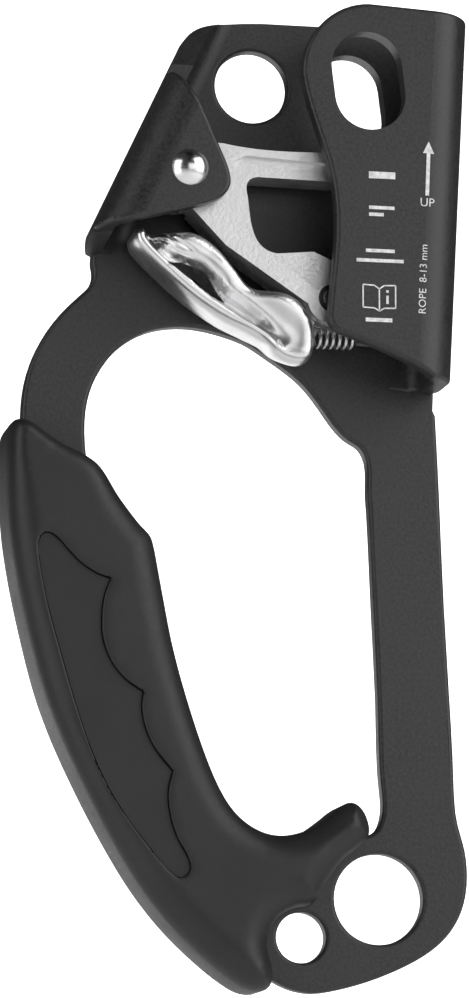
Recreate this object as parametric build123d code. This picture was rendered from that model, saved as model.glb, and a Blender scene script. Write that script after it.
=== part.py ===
from build123d import *
import os
from math import cos, hypot, pi, radians, sin, sqrt, tan

# Handled rope ascender, in millimetres. The origin is the centre of the large lower eye in the
# back plate's mid-plane. +X is to the right seen from the front, +Z runs up, the front faces -Y.
# A depth is measured forwards from the mid-plane, so a point at depth d has Y = -d.

SHEET = 4.0
PLATE_FRONT, PLATE_BACK = SHEET / 2, -SHEET / 2      # depths of the back plate's two faces
FLAP_FRONT = 20.0                                    # depth of the front face of both folded flaps
FLAP_BACK = FLAP_FRONT - SHEET
BEND_OUT = 8.0                                       # outer bend radius
BEND_IN = BEND_OUT - SHEET
CUT_LAP = 0.3                                        # overlap of flat and folded sheet at a fold's end
FOLD_LAP = 2.0                                       # the flat sheet stops this far short of a bend
EDGE_ROUND = 0.8                                     # rounding of the sheet's cut edges
RUN_POINTS = 5                                       # points to a run of a smooth closed outline
TINY, SHARP = 0.001, 0.7                             # coincidence in mm, cosine of a sharp edge
THROUGH = 1.0                                        # how far a cutting tool runs past a face

LOWER_EYE, LOWER_EYE_R = (0.0, 0.0), 9.0
SMALL_EYE, SMALL_EYE_R = (-15.7, -7.8), 5.0
UPPER_EYE, UPPER_EYE_R = (-25.6, 164.5), 7.5
CLIP_SLOT, CLIP_SLOT_R, CLIP_SLOT_L, CLIP_SLOT_LEAN = (-5.3, 162.0), 7.2, 20.2, 7.0

CHANNEL_FOOT, CHANNEL_LEAN = (12.6, 102.0), radians(3.0)     # outer wall line of the rope channel
CHANNEL_LENGTH, CHANNEL_FLAT = 90.0, 36.0
PLATE_TOP, CHANNEL_TOP, TOP_BREAK_X = 177.8, 178.3, -10.0    # top edge, square to the channel past the break
EAR_FOOT, EAR_LEAN = (-58.9, 133.2), radians(25.0)   # outer wall line of the cam ear
EAR_BLANK, EAR_TOP, EAR_FLAT = 80.0, 62.0, 34.0
EAR_WALL_TOP_Z, EAR_WALL_TOP_SLOPE = 165.5, 52.0     # wall's top edge at the front bend, rising backwards
EAR_WALL_LOW_Z, EAR_WALL_LOW_SLOPE = 128.0, 9.0      # wall's lower edge in the mid-plane, rising forwards
EAR_BEND_DEPTH = FLAP_FRONT - BEND_OUT

CAM_PIVOT, CAM_HUB_R = (-41.5, 142.5), 6.0
CAM_FRONT, CAM_BACK, CAM_HUB_BACK = 14.0, 5.0, 6.8   # depths of the cam's faces
CAM_RECESS = 12.4                                    # depth of the floor round the cam's window
CAM_FACE_R, CAM_FACE_GROWTH = 49.9, 5.6              # toothed face: radius when level, growth per radian
CAM_FACE_TOP, CAM_FACE_LOW = radians(5.5), radians(-29.0)
TOOTH_R, TOOTH_TIP_R, TOOTH_H, TOOTH_ROOT, TOOTH_TILT = 1.1, 0.15, 1.0, 0.3, radians(12.0)
TOOTH_ROWS, TOOTH_COLUMNS, TOOTH_PITCH = 9, 3, 2.7
RIVET_R, RIVET_HEAD_R, RIVET_HEAD_H = 2.5, 3.65, 1.9
RIVET_TAIL_R, RIVET_TAIL_H = 3.8, 1.4
WASHER_R, WASHER_T = 5.0, 1.0
BUSH_R, BUSH_NOSE_R, SPACER_R, SPACER_T = 4.0, 3.1, 5.0, 1.0
BUSH_FRONT = 15.4                                    # the bushing steps down to its nose at this depth
RUN = 0.05                                           # radial running clearance

PIN_PIVOT, PIN_R, PIN_FRONT, PIN_BACK = (-11.5, 118.5), 1.9, 13.7, 2.4
PIN_HEAD_R, PIN_HEAD_T = 3.0, 0.8
SLEEVE_R, SLEEVE_FRONT = 2.9, 13.3
FORK_SWING_R = 6.2
FORK_FRONT, FORK_REAR, FORK_BACK = 11.0, 5.3, 3.5    # depths: inner faces of the fork, back of its rear plate
FORK_PLATE_X, FORK_PLATE_Z = (-22.0, -1.0), (112.0, 126.4)
TRIGGER_FRONT, TRIGGER_BACK = 15.5, 4.0
HUB_R, HUB_FRONT, HUB_BACK = 4.6, 10.6, 5.7
BOSS_CLEAR_R = 5.9                                   # trigger body stays outside this radius of its pin
POCKET_FLOOR = 13.4

GRIP_HALF, GRIP_CROWN, GRIP_ROUND, GRIP_ROUND_END = 11.0, 4.0, 3.6, 1.2
GRIP_ROUND_LOW, GRIP_ROUND_HIGH = 24.0, 80.0         # heights between which its edges are fully rounded
INLAY_FACE, INLAY_T = 10.0, 1.6

COIL_WIRE, COIL_R, COIL_PITCH, COIL_TURNS = 0.33, 1.9, 1.32, 6.5
COIL_X0, COIL_DEPTH, COIL_Z = -14.6, 9.0, 111.3      # start of the trigger spring's axis, which runs along +X
COIL_STEPS = 12                                      # points to a turn of either spring
TORSION_WIRE, TORSION_R, TORSION_PITCH, TORSION_TURNS, TORSION_BACK = 0.5, 5.1, 1.07, 3, 2.7
WALL_LEG, CAM_LEG, LEG_NOTCH = 6.8, 8.6, 1.8         # torsion spring's legs, width of the cam's notch


def at(x, z, depth=0.0):
    return Vector(x, -depth, z)


def path_edges(*runs):
    """Edges at depth 0. In each run two points make a line, more make a smooth curve."""
    edges = []
    for run in runs:
        points = [at(x, z) for x, z in run]
        edges.append(Edge.make_line(*points) if len(points) == 2 else Edge.make_spline(points))
    return edges


def path(*runs):
    return Wire(path_edges(*runs))


def smooth_run(points, depth, closed=False):
    """Smooth edges through the points, split into short runs that meet tangentially."""
    p = [at(x, z, depth) for x, z in points]
    count = len(p)
    last = count if closed else count - 1
    starts = list(range(0, last - RUN_POINTS // 2, RUN_POINTS))
    edges = []
    for i, j in zip(starts, starts[1:] + [last]):
        ends = [(p[(k + 1) % count] if closed else p[min(k + 1, last)]) - p[k - 1 if closed or k else 0]
                for k in (i, j % count)]
        edges.append(Edge.make_spline([p[k % count] for k in range(i, j + 1)],
                                      tangents=[v.normalized() for v in ends]))
    return edges


def polygon(*points):
    return Wire.make_polygon([at(x, z) for x, z in points], close=True)


def plate(wire, depth_back, depth_front):
    """Solid under a closed wire, between two depths."""
    solid = Solid.extrude(Face(wire), Vector(0, depth_back - depth_front, 0))
    return solid.moved(Location((0, -depth_back, 0)))


def disc(centre, radius, depth_back, depth_front):
    plane = Plane(origin=at(*centre, depth_back), x_dir=(1, 0, 0), z_dir=(0, -1, 0))
    return Solid.make_cylinder(radius, depth_front - depth_back, plane)


def slab(x0, x1, z0, z1, depth_back, depth_front):
    centre = Pos((x0 + x1) / 2, -(depth_back + depth_front) / 2, (z0 + z1) / 2)
    return centre * Box(x1 - x0, depth_front - depth_back, z1 - z0)


def rod(points, radius):
    """Round wire along a smooth curve."""
    curve = Edge.make_spline(points)
    start = Plane(origin=curve @ 0, z_dir=curve % 0)
    return sweep(start * Circle(radius), path=curve).solid()


# Frame: one sheet, with the rope channel folded on the right and the cam ear on the left.

def folded_section(foot, along, inward, flat, length):
    """Strip of back plate, bend, side wall, bend and front flap, swept along a fold line."""
    plane = Plane(origin=at(*foot), x_dir=inward, z_dir=along)
    strip = BEND_OUT + SHEET
    back_bend, front_bend = BEND_OUT + PLATE_BACK, FLAP_FRONT - BEND_OUT
    with BuildPart() as part:
        with BuildSketch(plane):
            with BuildLine():
                Line((strip, PLATE_BACK), (BEND_OUT, PLATE_BACK))
                RadiusArc((BEND_OUT, PLATE_BACK), (0, back_bend), BEND_OUT)
                Line((0, back_bend), (0, front_bend))
                RadiusArc((0, front_bend), (BEND_OUT, FLAP_FRONT), BEND_OUT)
                Polyline((BEND_OUT, FLAP_FRONT), (flat, FLAP_FRONT), (flat, FLAP_BACK), (BEND_OUT, FLAP_BACK))
                RadiusArc((BEND_OUT, FLAP_BACK), (SHEET, front_bend), -BEND_IN)
                Line((SHEET, front_bend), (SHEET, back_bend))
                RadiusArc((SHEET, back_bend), (BEND_OUT, PLATE_FRONT), -BEND_IN)
                Polyline((BEND_OUT, PLATE_FRONT), (strip, PLATE_FRONT), (strip, PLATE_BACK))
            make_face()
        extrude(amount=length)
    return part.part.solid()


def top_edge(x):
    return CHANNEL_TOP - max(0.0, x - TOP_BREAK_X) * sin(CHANNEL_LEAN)


def rope_channel():
    lean = CHANNEL_LEAN
    section = folded_section(CHANNEL_FOOT, (sin(lean), 0, cos(lean)), (-cos(lean), 0, sin(lean)),
                             CHANNEL_FLAT, CHANNEL_LENGTH)
    (foot_x, foot_z), far_x = CHANNEL_FOOT, 30.0
    flap = path(
        [(far_x, foot_z), (8.2, foot_z)],
        [(8.2, foot_z), (5.6, 103.6), (0.3, 106.2), (-6.8, 109.1), (-11.0, 110.6)],
        [(-11.0, 110.6), (-12.6, 111.5), (-13.5, 113.9)],
        [(-13.5, 113.9), (-12.9, 120.0), (-12.0, 130.0), (-13.0, 143.0), (-15.6, 151.5), (-17.8, 158.5),
         (-18.7, 163.0)],
        [(-18.7, 163.0), (-18.3, 166.8), (-16.6, 171.0), (-13.6, 174.6), (-10.0, 176.9),
         (-5.0, top_edge(-5.0))],
        [(-5.0, top_edge(-5.0)), (far_x, top_edge(far_x))],
        [(far_x, top_edge(far_x)), (far_x, foot_z)],
    )
    strip = polygon((TOP_BREAK_X, foot_z), (far_x, foot_z), (far_x, top_edge(far_x)),
                    (TOP_BREAK_X, CHANNEL_TOP))
    middle = FLAP_FRONT / 2
    channel = section & plate(flap, middle, FLAP_FRONT + THROUGH)
    channel += section & plate(strip, PLATE_BACK - THROUGH, middle)
    lap_x = foot_x - BEND_OUT - FOLD_LAP / 2
    return channel.fillet(EDGE_ROUND, sharp_edges(
        channel, lambda p: p.Y < -PLATE_FRONT - TINY or p.X > lap_x + (p.Z - foot_z) * tan(lean)))


def ear_point(along, inward):
    """Point of the mid-plane measured along the ear's wall line and inwards from it."""
    return (EAR_FOOT[0] + along * sin(EAR_LEAN) + inward * cos(EAR_LEAN),
            EAR_FOOT[1] + along * cos(EAR_LEAN) - inward * sin(EAR_LEAN))


def ear_trim(far_x):
    """Outline that the ear's wall and back bend are cut to: rounded top and lower corners."""
    side_x = 0.0
    return path(
        [(side_x, PLATE_TOP), EAR_TOP_CORNER[0]],
        EAR_TOP_CORNER,
        [EAR_TOP_CORNER[-1], (far_x, EAR_TOP_CORNER[-1][1])],
        [(far_x, EAR_TOP_CORNER[-1][1]), (far_x, EAR_LOW_CORNER[0][1])],
        [(far_x, EAR_LOW_CORNER[0][1]), EAR_LOW_CORNER[0]],
        EAR_LOW_CORNER,
        [EAR_LOW_CORNER[-1], (side_x, EAR_LOW_CORNER[-1][1])],
        [(side_x, EAR_LOW_CORNER[-1][1]), (side_x, PLATE_TOP)],
    )


def cam_ear():
    lean = EAR_LEAN
    section = folded_section(ear_point(EAR_TOP, 0), (-sin(lean), 0, -cos(lean)), (cos(lean), 0, -sin(lean)),
                             EAR_FLAT, EAR_BLANK)
    far_x, low_z = -80.0, 120.0
    flap = path(
        [(far_x, 168.0), (-46.4, 168.0)],
        [(-46.4, 168.0), (-44.3, 164.4), (-41.4, 159.6), (-39.2, 155.6), (-37.0, 150.6), (-35.1, 146.2),
         (-33.5, 142.0), (-33.4, 139.2), (-35.0, 137.0), (-38.0, 135.6), (-42.2, 134.4), (-47.1, 133.0),
         (-53.4, 131.6), (-60.0, 130.2)],
        [(-60.0, 130.2), (-64.0, low_z)],
        [(-64.0, low_z), (far_x, low_z)],
        [(far_x, low_z), (far_x, 168.0)],
    )
    cutter = 120.0
    halfway = Pos(0, 0, cutter / 2)
    above = (Pos(far_x / 2, -EAR_BEND_DEPTH, EAR_WALL_TOP_Z) * Rot(X=EAR_WALL_TOP_SLOPE) * halfway
             * Box(cutter, cutter, cutter))
    below = (Pos(far_x / 2, 0, EAR_WALL_LOW_Z) * Rot(X=180 - EAR_WALL_LOW_SLOPE) * halfway
             * Box(cutter, cutter, cutter))
    front = (section & plate(flap, EAR_BEND_DEPTH, FLAP_FRONT + THROUGH)) - below
    rest = (section & plate(ear_trim(far_x), PLATE_BACK - THROUGH, EAR_BEND_DEPTH)) - above - below
    free = [e for e in front.edges() if e.geom_type == GeomType.BSPLINE and (e @ 0.5).Y < -FLAP_BACK + TINY]
    return front.fillet(EDGE_ROUND, free) + rest


EAR_TOP_CORNER = [
    (-23.5, PLATE_TOP), (-30.1, 177.3), (-33.4, 176.7), (-36.7, 175.6), (-38.9, 174.0), (-40.4, 172.2),
    (-41.7, 170.4), (-43.4, 168.6),
]
EAR_LOW_CORNER = [
    (-61.4, 133.6), (-60.1, 131.3), (-59.8, 129.4), (-59.2, 127.6), (-57.6, 125.6), (-55.0, 124.0),
]
LOOP_EDGE = [
    (12.3, 97.5), (12.9, 84.0), (13.7, 62.0), (14.7, 42.0), (15.4, 27.0), (15.9, 17.1), (17.4, 11.0),
    (18.1, 5.0), (17.0, -1.8), (14.0, -7.0), (9.6, -10.8), (3.0, -14.3), (-4.4, -17.0), (-9.3, -18.2),
    (-14.1, -18.7), (-18.4, -17.8), (-23.0, -15.4), (-31.0, -10.8), (-41.0, -2.0), (-53.0, 16.0),
    (-64.0, 39.0), (-69.8, 62.0), (-71.9, 83.0), (-72.1, 94.8), (-71.4, 101.8), (-69.2, 108.4),
    (-65.2, 114.9), (-60.5, 119.8), (-58.4, 122.2), (-57.9, 124.4), (-58.2, 126.6), (-58.1, 128.4),
]


def outline():
    fold_x = CHANNEL_FOOT[0] - BEND_OUT - FOLD_LAP
    foot_z = CHANNEL_FOOT[1]
    fold_top_x = fold_x + (top_edge(fold_x + SHEET) - foot_z) * tan(CHANNEL_LEAN)
    fold_top = (fold_top_x, top_edge(fold_top_x))
    foot_edge = (fold_x, foot_z + (BEND_OUT + FOLD_LAP) * sin(CHANNEL_LEAN) + CUT_LAP)
    foot_end, foot_relief = (11.8, foot_z + CUT_LAP), (11.6, 98.8)
    ear_low, ear_top = ear_point(0.0, BEND_OUT + FOLD_LAP), ear_point(53.6, BEND_OUT + FOLD_LAP)
    ear_end = (-55.4, 128.6)
    folds = path_edges(
        [LOOP_EDGE[-1], ear_end],
        [ear_end, ear_low],
        [ear_low, ear_top],
        [ear_top, EAR_TOP_CORNER[0]],
        [EAR_TOP_CORNER[0], (TOP_BREAK_X, PLATE_TOP)],
        [(TOP_BREAK_X, PLATE_TOP), fold_top],
        [fold_top, foot_edge],
        [foot_edge, foot_end],
        [foot_end, foot_relief],
        [foot_relief, LOOP_EDGE[0]],
    )
    return Wire(folds + smooth_run(LOOP_EDGE, 0.0))


OPENING_LOOP = [
    (-1.3, 72.0), (-0.6, 55.0), (0.1, 38.0), (0.7, 22.0), (0.8, 16.6), (-0.4, 13.6), (-3.4, 12.4),
    (-8.6, 11.6), (-14.4, 9.0), (-20.0, 8.0), (-26.0, 9.4), (-31.6, 13.2), (-36.0, 19.2), (-41.0, 30.0),
    (-48.6, 50.0), (-55.4, 68.0), (-58.8, 85.0), (-59.4, 92.2), (-59.0, 97.6), (-56.9, 103.7),
    (-53.0, 109.0), (-47.6, 112.6), (-41.1, 114.1), (-34.6, 113.7), (-28.0, 111.9), (-21.6, 108.2),
    (-15.3, 103.5), (-11.0, 98.2), (-7.6, 93.8), (-5.4, 92.0), (-3.3, 90.6), (-2.1, 88.2), (-1.8, 83.0),
]


def opening():
    return Wire(smooth_run(OPENING_LOOP, 0.0, closed=True))


def clip_slot():
    x, z = CLIP_SLOT
    lean, half = radians(CLIP_SLOT_LEAN), CLIP_SLOT_L / 2 - CLIP_SLOT_R
    back, front = PLATE_BACK - THROUGH, FLAP_FRONT + THROUGH
    low, high = [(x - s * half * sin(lean), z + s * half * cos(lean)) for s in (-1, 1)]
    side = (cos(lean) * CLIP_SLOT_R, sin(lean) * CLIP_SLOT_R)
    corners = [(x + s * side[0], z + s * side[1])
               for (x, z), s in ((low, -1), (low, 1), (high, 1), (high, -1))]
    middle = plate(polygon(*corners), back, front)
    return disc(low, CLIP_SLOT_R, back, front) + disc(high, CLIP_SLOT_R, back, front) + middle


def blank():
    """The flat part of the sheet, with the handle opening."""
    hole = plate(opening(), PLATE_BACK - THROUGH, PLATE_FRONT + THROUGH)
    return plate(outline(), PLATE_BACK, PLATE_FRONT) - hole


def rounded_blank():
    """The same with its free edges rounded: the loop's outer edge and the opening."""
    body = blank()
    faces = [f for f in body.faces()
             if f.geom_type == GeomType.PLANE and abs(abs(f.normal_at().Y) - 1) < TINY]
    inner = [e for f in faces for w in f.inner_wires() for e in w.edges()]

    def free(edge):
        middle = edge @ 0.5
        beside_channel = middle.X > CHANNEL_FOOT[0] - SHEET and middle.Z > LOOP_EDGE[0][1]
        return edge.geom_type == GeomType.BSPLINE and middle.Z < LOOP_EDGE[-1][1] and not beside_channel

    return body.fillet(EDGE_ROUND, inner + [e for f in faces for e in f.outer_wire().edges() if free(e)])


def sharp_edges(shape, keep):
    """Edges whose two faces meet at a sharp angle, where keep(middle point) holds."""
    beside = {}
    for face in shape.faces():
        for edge in face.edges():
            beside.setdefault(hash(edge.wrapped), []).append((edge, face))
    chosen = []
    for pairs in beside.values():
        middle = pairs[0][0] @ 0.5
        if len(pairs) == 2 and keep(middle):
            first, second = (face.normal_at(middle) for edge, face in pairs)
            if first.dot(second) < SHARP:
                chosen.append(pairs[0][0])
    return chosen


def rim_edges(shape, centre, radius):
    return [e for e in shape.edges() if e.geom_type == GeomType.CIRCLE and abs(e.radius - radius) < TINY
            and hypot(e.arc_center.X - centre[0], e.arc_center.Z - centre[1]) < TINY]


def frame():
    body = rounded_blank() + rope_channel() + cam_ear()
    for eye, radius in ((LOWER_EYE, LOWER_EYE_R), (SMALL_EYE, SMALL_EYE_R), (UPPER_EYE, UPPER_EYE_R)):
        body -= disc(eye, radius, PLATE_BACK - THROUGH, PLATE_FRONT + THROUGH)
        body = body.fillet(EDGE_ROUND, rim_edges(body, eye, radius))
    body -= clip_slot()
    body -= disc(CAM_PIVOT, RIVET_R, PLATE_BACK - THROUGH, FLAP_FRONT + THROUGH)
    return body.solid()


# Grip: rubber moulded round the bar, with a scalloped panel let into each face.

GRIP_LOOP = [
    (-75.4, 90.2), (-75.7, 82.5), (-74.6, 68.5), (-71.4, 52.0), (-67.0, 36.5), (-60.0, 20.8),
    (-50.9, 4.6), (-43.8, -4.9), (-35.9, -12.6), (-28.8, -17.7), (-25.2, -18.8), (-22.8, -17.6),
    (-22.4, -14.6), (-23.6, -9.5), (-21.4, -4.3), (-17.6, -2.1), (-14.0, -1.3), (-11.3, 3.2),
    (-8.4, 7.2), (-4.8, 10.0), (-2.8, 12.6), (-3.2, 15.6), (-6.2, 18.3), (-10.9, 16.2),
    (-15.2, 13.1), (-20.1, 11.9), (-24.5, 12.6), (-28.9, 15.4), (-32.3, 19.9), (-35.7, 27.5),
    (-39.6, 39.1), (-42.3, 49.0), (-44.3, 59.0), (-46.0, 67.4), (-48.8, 73.0), (-53.2, 78.6),
    (-57.0, 84.4), (-60.8, 87.0), (-64.4, 88.5), (-68.0, 90.8), (-71.4, 92.9), (-74.0, 92.9),
]


def grip_section(depth, level):
    """Outline drawn in towards the faces: level 0 at the side wall, 1 at the face."""
    count, points = len(GRIP_LOOP), []
    for i, (x, z) in enumerate(GRIP_LOOP):
        (x0, z0), (x1, z1) = GRIP_LOOP[i - 1], GRIP_LOOP[(i + 1) % count]
        room = GRIP_ROUND if GRIP_ROUND_LOW < z < GRIP_ROUND_HIGH else GRIP_ROUND_END
        inset = room * (1 - sqrt(1 - level ** 2)) / hypot(x1 - x0, z1 - z0)
        points.append((x - inset * (z1 - z0), z + inset * (x1 - x0)))
    return Wire(smooth_run(points, depth, closed=True))


def inlay_outline():
    return path(
        [(-69.6, 65.5), (-68.0, 56.8), (-65.9, 49.0), (-62.4, 37.2), (-58.7, 26.8), (-55.0, 19.2),
         (-50.8, 12.9), (-46.4, 7.3), (-43.2, 3.8), (-41.2, 2.9), (-39.6, 4.4), (-40.2, 7.0), (-42.2, 10.6),
         (-43.6, 15.0), (-44.0, 19.5), (-43.1, 23.6)],
        [(-43.1, 23.6), (-46.9, 28.3), (-48.7, 32.4), (-49.3, 36.0), (-49.0, 39.0)],
        [(-49.0, 39.0), (-53.0, 41.8), (-55.6, 45.3), (-57.1, 49.6), (-57.3, 53.7), (-56.8, 57.9),
         (-55.6, 61.2)],
        [(-55.6, 61.2), (-58.4, 62.2), (-61.5, 64.2), (-64.1, 66.8), (-66.4, 69.2), (-68.4, 69.9),
         (-69.6, 68.4), (-69.6, 65.5)],
    )


def grip_inlay(side):
    """Panel on the front face (side 1) or the rear face (side -1)."""
    depths = sorted((side * (INLAY_FACE - INLAY_T), side * INLAY_FACE))
    return plate(inlay_outline(), *depths)


def grip():
    side, levels = GRIP_HALF - GRIP_CROWN, (0.0, 0.4, 0.7, 0.9, 1.0)
    sections = [grip_section(-side - GRIP_CROWN * level, level) for level in reversed(levels)]
    sections += [grip_section(side + GRIP_CROWN * level, level) for level in levels]
    body = Solid.make_loft(sections, ruled=True) - blank()
    for face in (1, -1):
        body -= plate(inlay_outline(), *sorted((face * (INLAY_FACE - INLAY_T), face * (GRIP_HALF + THROUGH))))
    return body.solid()


# Cam and its pivot.

def cam_face_point(angle, extra=0.0):
    radius = CAM_FACE_R - CAM_FACE_GROWTH * angle + extra
    return CAM_PIVOT[0] + radius * cos(angle), CAM_PIVOT[1] + radius * sin(angle)


def cam_outline():
    steps = 6
    span = CAM_FACE_LOW - CAM_FACE_TOP
    face = [cam_face_point(CAM_FACE_TOP + span * i / steps) for i in range(steps + 1)]
    return path(
        [(-42.4, 148.2), (-38.4, 149.0), (-33.8, 149.2)],
        [(-33.8, 149.2), (-13.3, 148.2), (4.0, 147.8), face[0]],
        face,
        [face[-1], (4.2, 113.4), (2.0, 111.4), (-1.4, 110.8)],
        [(-1.4, 110.8), (-5.0, 110.9)],
        [(-5.0, 110.9), (-5.0, 114.0)],
        [(-5.0, 114.0), (-8.4, 114.3)],
        [(-8.4, 114.3), (-11.5, 113.3), (-15.0, 114.6), (-16.5, 117.2)],
        [(-16.5, 117.2), (-21.5, 120.5)],
        [(-21.5, 120.5), (-33.2, 128.4)],
        [(-33.2, 128.4), (-40.6, 136.2)],
        [(-40.6, 136.2), (-42.4, 148.2)],
    )


def cam_window():
    return path(
        [(-28.7, 140.0), (-27.7, 133.1), (-26.4, 129.8), (-22.5, 127.5)],
        [(-22.5, 127.5), (-15.0, 128.2)],
        [(-15.0, 128.2), (-11.5, 126.6)],
        [(-11.5, 126.6), (-6.6, 127.6), (-4.2, 131.2), (-4.0, 137.0), (-5.4, 141.2), (-8.8, 142.7)],
        [(-8.8, 142.7), (-26.3, 143.0)],
        [(-26.3, 143.0), (-28.2, 142.2), (-28.7, 140.0)],
    )


def cam_recess():
    return path(
        [(-31.2, 141.8), (-31.4, 145.2), (-29.1, 146.9)],
        [(-29.1, 146.9), (-4.4, 145.6)],
        [(-4.4, 145.6), (-1.4, 142.0), (-1.4, 130.0), (-4.4, 124.6), (-9.4, 124.6)],
        [(-9.4, 124.6), (-12.1, 121.6)],
        [(-12.1, 121.6), (-14.6, 120.0)],
        [(-14.6, 120.0), (-24.1, 126.8)],
        [(-24.1, 126.8), (-29.2, 130.7)],
        [(-29.2, 130.7), (-31.2, 141.8)],
    )


def cam_teeth():
    """Rows of small cones over the face, tilted up so that they hold under load and slip upwards."""
    teeth = []
    step = (CAM_FACE_LOW - CAM_FACE_TOP) / TOOTH_ROWS
    for row in range(TOOTH_ROWS):
        angle = CAM_FACE_TOP + step * (row + 0.6)
        x, z = cam_face_point(angle, -TOOTH_ROOT)
        tilt = angle + TOOTH_TILT
        for column in range(TOOTH_COLUMNS):
            depth = (CAM_FRONT + CAM_BACK) / 2 + (column - (TOOTH_COLUMNS - 1) / 2) * TOOTH_PITCH
            plane = Plane(origin=at(x, z, depth), z_dir=(cos(tilt), 0, sin(tilt)))
            teeth.append(Solid.make_cone(TOOTH_R, TOOTH_TIP_R, TOOTH_H + TOOTH_ROOT, plane))
    return teeth


def cam():
    body = plate(cam_outline(), CAM_BACK, CAM_FRONT) + disc(CAM_PIVOT, CAM_HUB_R, CAM_BACK, CAM_FRONT)
    body -= plate(cam_recess(), CAM_RECESS, CAM_FRONT + THROUGH)
    body -= plate(cam_window(), CAM_BACK - THROUGH, CAM_FRONT + THROUGH)
    body -= disc(CAM_PIVOT, CAM_HUB_R + THROUGH, CAM_BACK - THROUGH, CAM_HUB_BACK)
    x, z = CAM_PIVOT[0], CAM_PIVOT[1] - TORSION_R
    body -= slab(x, x + CAM_LEG + THROUGH, z - LEG_NOTCH / 2, z + LEG_NOTCH / 2,
                 CAM_BACK - THROUGH, CAM_HUB_BACK)
    body -= disc(PIN_PIVOT, FORK_SWING_R, FORK_REAR, FORK_FRONT)
    fork_block = slab(*FORK_PLATE_X, *FORK_PLATE_Z, FORK_BACK, FORK_REAR)
    body += plate(cam_outline(), FORK_BACK, FORK_REAR) & fork_block
    body -= disc(CAM_PIVOT, BUSH_R + RUN, CAM_BACK - THROUGH, CAM_FRONT + THROUGH)
    body -= disc(PIN_PIVOT, PIN_R + RUN, FORK_BACK - THROUGH, FORK_REAR + THROUGH)
    body -= disc(PIN_PIVOT, SLEEVE_R, FORK_FRONT - THROUGH, CAM_FRONT + THROUGH)
    for tooth in cam_teeth():
        body += tooth
    return body.solid()


def domed(centre, radius, height, depth, forwards=1):
    """Spherical cap on a face at this depth."""
    sphere_r = (radius ** 2 + height ** 2) / (2 * height)
    ball = Pos(centre[0], -(depth + forwards * (height - sphere_r)), centre[1]) * Sphere(sphere_r)
    depths = sorted((depth, depth + forwards * (height + THROUGH)))
    return (ball & disc(centre, radius + THROUGH, *depths)).solid()


def cam_rivet():
    back = PLATE_BACK - WASHER_T
    head = domed(CAM_PIVOT, RIVET_HEAD_R, RIVET_HEAD_H, FLAP_FRONT)
    tail = domed(CAM_PIVOT, RIVET_TAIL_R, RIVET_TAIL_H, back, -1)
    return (disc(CAM_PIVOT, RIVET_R, back, FLAP_FRONT) + head + tail).solid()


def ring(centre, outer, inner, depth_back, depth_front):
    hole = disc(centre, inner, depth_back - THROUGH, depth_front + THROUGH)
    return disc(centre, outer, depth_back, depth_front) - hole


def cam_bushing():
    nose = disc(CAM_PIVOT, BUSH_NOSE_R, BUSH_FRONT, FLAP_BACK)
    bore = disc(CAM_PIVOT, RIVET_R, PLATE_FRONT - THROUGH, FLAP_BACK + THROUGH)
    return (disc(CAM_PIVOT, BUSH_R, PLATE_FRONT, BUSH_FRONT) + nose - bore).solid()


def coil(turns, point):
    """Points along whole or part turns; point(angle) gives each."""
    count = int(turns * COIL_STEPS)
    return [point(2 * pi * i / COIL_STEPS) for i in range(count + 1)]


def cam_spring():
    """Torsion spring: one leg by the ear's wall, the other in the notch in the cam's back."""
    x, z = CAM_PIVOT
    end_depth = TORSION_BACK + TORSION_PITCH * TORSION_TURNS
    wall_leg = [at(x - WALL_LEG * part, z - TORSION_R, TORSION_BACK) for part in (1.0, 0.5)]
    cam_leg = [at(x + CAM_LEG * part, z - TORSION_R, end_depth) for part in (0.5, 1.0)]
    turns = coil(TORSION_TURNS, lambda angle: at(x + TORSION_R * sin(angle), z - TORSION_R * cos(angle),
                                                 TORSION_BACK + TORSION_PITCH * angle / (2 * pi)))
    return rod(wall_leg + turns + cam_leg, TORSION_WIRE)


# Trigger and its pin.

def trigger_outline():
    return path(
        [(-44.6, 130.7), (-47.4, 130.8), (-50.0, 131.2), (-51.5, 130.3), (-51.4, 128.4), (-49.9, 126.4),
         (-45.5, 122.2), (-39.9, 117.5), (-33.8, 113.6), (-28.6, 111.2), (-25.6, 109.6), (-23.2, 107.3),
         (-20.2, 105.9), (-17.6, 105.6), (-15.9, 106.8), (-15.2, 109.6), (-15.3, 113.0)],
        [(-15.3, 113.0), (-16.8, 116.2)],
        [(-16.8, 116.2), (-19.2, 118.4), (-21.8, 119.4)],
        [(-21.8, 119.4), (-27.9, 120.2), (-31.1, 123.6), (-35.4, 128.5), (-39.8, 130.9), (-44.6, 130.7)],
    )


def trigger_slot():
    return path(
        [(-45.4, 124.4), (-42.4, 124.9), (-39.3, 124.2), (-37.5, 122.8), (-36.2, 121.0), (-34.9, 118.4)],
        [(-34.9, 118.4), (-37.7, 119.2), (-40.8, 121.4), (-45.4, 124.4)],
    )


def trigger_pocket():
    return path(
        [(-45.0, 129.0), (-48.6, 129.6), (-49.2, 128.4), (-47.6, 126.8), (-42.0, 128.0), (-38.6, 127.4),
         (-34.4, 125.0), (-31.8, 121.0), (-30.2, 121.2), (-34.6, 126.4), (-39.6, 129.4), (-45.0, 129.0)],
    )


def trigger_valley():
    return path(
        [(-33.0, 116.0), (-28.8, 113.0), (-24.6, 111.0), (-22.6, 109.2)],
        [(-22.6, 109.2), (-24.0, 112.6), (-28.6, 116.0), (-33.0, 116.0)],
    )


def trigger_neck():
    """Joins the trigger's body to its hub between the fork's plates."""
    return polygon((-13.6, 114.6), (-15.6, 113.3), (-15.8, 110.5), (-24.0, 112.0), (-22.4, 118.5),
                   (-15.4, 116.9))


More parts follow.
